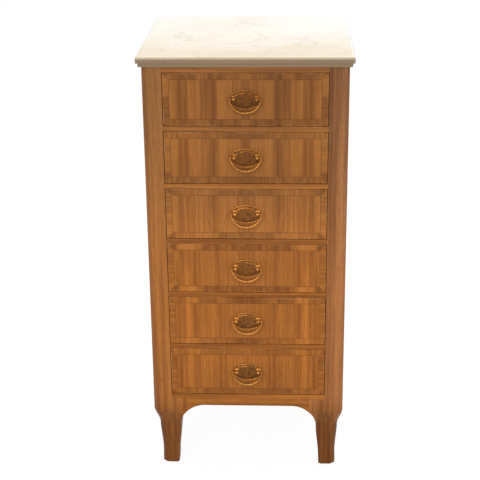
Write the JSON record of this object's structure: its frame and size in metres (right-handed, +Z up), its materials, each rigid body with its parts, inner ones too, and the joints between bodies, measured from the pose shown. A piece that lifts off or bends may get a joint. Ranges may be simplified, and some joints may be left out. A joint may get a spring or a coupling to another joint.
{
  "type": "nightstand",
  "caption": "Tall narrow nightstand chest with a moulded stone slab on a veneered case, short curved legs and full-width drawers opened by oval bail pulls.",
  "frame": {"origin": "middle of the footprint on the floor, under the middle of the bounding box", "axes": "+Z up, drawers open towards -Y, +X to the right seen from the front"},
  "size_m": [0.355, 0.3456, 0.762],
  "materials": {
    "stone": "honed cream marble",
    "veneer": "satin orange-brown veneer",
    "leg_wood": "satin solid wood, dark below the knee",
    "inner_wood": "plain planed wood",
    "brass": "aged brass"
  },
  "bodies": {
    "case": {"marble_top": "stone", "front_left_leg": "leg_wood", "front_right_leg": "leg_wood", "back_left_leg": "leg_wood", "back_right_leg": "leg_wood", "left_side_panel": "veneer", "right_side_panel": "veneer", "back_panel": "inner_wood", "bottom_board": "inner_wood", "front_apron": "veneer", "left_apron": "veneer", "right_apron": "veneer", "back_apron": "inner_wood", "top_frame": "inner_wood", "drawer_rails": "veneer", "drawer_runners": "inner_wood", "drawer_stops": "inner_wood"},
    "drawer_1": {"drawer_1_front": "veneer", "drawer_1_left_side": "inner_wood", "drawer_1_right_side": "inner_wood", "drawer_1_back": "inner_wood", "drawer_1_bottom": "inner_wood", "drawer_1_pull": "brass"},
    "bail_1": {"drawer_1_bail": "brass"},
    "drawer_2": {"drawer_2_front": "veneer", "drawer_2_left_side": "inner_wood", "drawer_2_right_side": "inner_wood", "drawer_2_back": "inner_wood", "drawer_2_bottom": "inner_wood", "drawer_2_pull": "brass"},
    "bail_2": {"drawer_2_bail": "brass"},
    "drawer_3": {"drawer_3_front": "veneer", "drawer_3_left_side": "inner_wood", "drawer_3_right_side": "inner_wood", "drawer_3_back": "inner_wood", "drawer_3_bottom": "inner_wood", "drawer_3_pull": "brass"},
    "bail_3": {"drawer_3_bail": "brass"},
    "drawer_4": {"drawer_4_front": "veneer", "drawer_4_left_side": "inner_wood", "drawer_4_right_side": "inner_wood", "drawer_4_back": "inner_wood", "drawer_4_bottom": "inner_wood", "drawer_4_pull": "brass"},
    "bail_4": {"drawer_4_bail": "brass"},
    "drawer_5": {"drawer_5_front": "veneer", "drawer_5_left_side": "inner_wood", "drawer_5_right_side": "inner_wood", "drawer_5_back": "inner_wood", "drawer_5_bottom": "inner_wood", "drawer_5_pull": "brass"},
    "bail_5": {"drawer_5_bail": "brass"},
    "drawer_6": {"drawer_6_front": "veneer", "drawer_6_left_side": "inner_wood", "drawer_6_right_side": "inner_wood", "drawer_6_back": "inner_wood", "drawer_6_bottom": "inner_wood", "drawer_6_pull": "brass"},
    "bail_6": {"drawer_6_bail": "brass"}
  },
  "joints": [
    {"name": "drawer_1_slide", "type": "slide", "parent": "case", "child": "drawer_1", "axis": [0, -1, 0], "range_m": [0, 0.22]},
    {"name": "bail_1_hinge", "type": "hinge", "parent": "drawer_1", "child": "bail_1", "pos_m": [0, -0.1682, 0.692], "axis": [-1, 0, 0], "range_deg": [0, 85]},
    {"name": "drawer_2_slide", "type": "slide", "parent": "case", "child": "drawer_2", "axis": [0, -1, 0], "range_m": [0, 0.22]},
    {"name": "bail_2_hinge", "type": "hinge", "parent": "drawer_2", "child": "bail_2", "pos_m": [0, -0.1682, 0.593], "axis": [-1, 0, 0], "range_deg": [0, 85]},
    {"name": "drawer_3_slide", "type": "slide", "parent": "case", "child": "drawer_3", "axis": [0, -1, 0], "range_m": [0, 0.22]},
    {"name": "bail_3_hinge", "type": "hinge", "parent": "drawer_3", "child": "bail_3", "pos_m": [0, -0.1682, 0.494], "axis": [-1, 0, 0], "range_deg": [0, 85]},
    {"name": "drawer_4_slide", "type": "slide", "parent": "case", "child": "drawer_4", "axis": [0, -1, 0], "range_m": [0, 0.22]},
    {"name": "bail_4_hinge", "type": "hinge", "parent": "drawer_4", "child": "bail_4", "pos_m": [0, -0.1682, 0.395], "axis": [-1, 0, 0], "range_deg": [0, 85]},
    {"name": "drawer_5_slide", "type": "slide", "parent": "case", "child": "drawer_5", "axis": [0, -1, 0], "range_m": [0, 0.22]},
    {"name": "bail_5_hinge", "type": "hinge", "parent": "drawer_5", "child": "bail_5", "pos_m": [0, -0.1682, 0.296], "axis": [-1, 0, 0], "range_deg": [0, 85]},
    {"name": "drawer_6_slide", "type": "slide", "parent": "case", "child": "drawer_6", "axis": [0, -1, 0], "range_m": [0, 0.22]},
    {"name": "bail_6_hinge", "type": "hinge", "parent": "drawer_6", "child": "bail_6", "pos_m": [0, -0.1682, 0.197], "axis": [-1, 0, 0], "range_deg": [0, 85]}
  ]
}
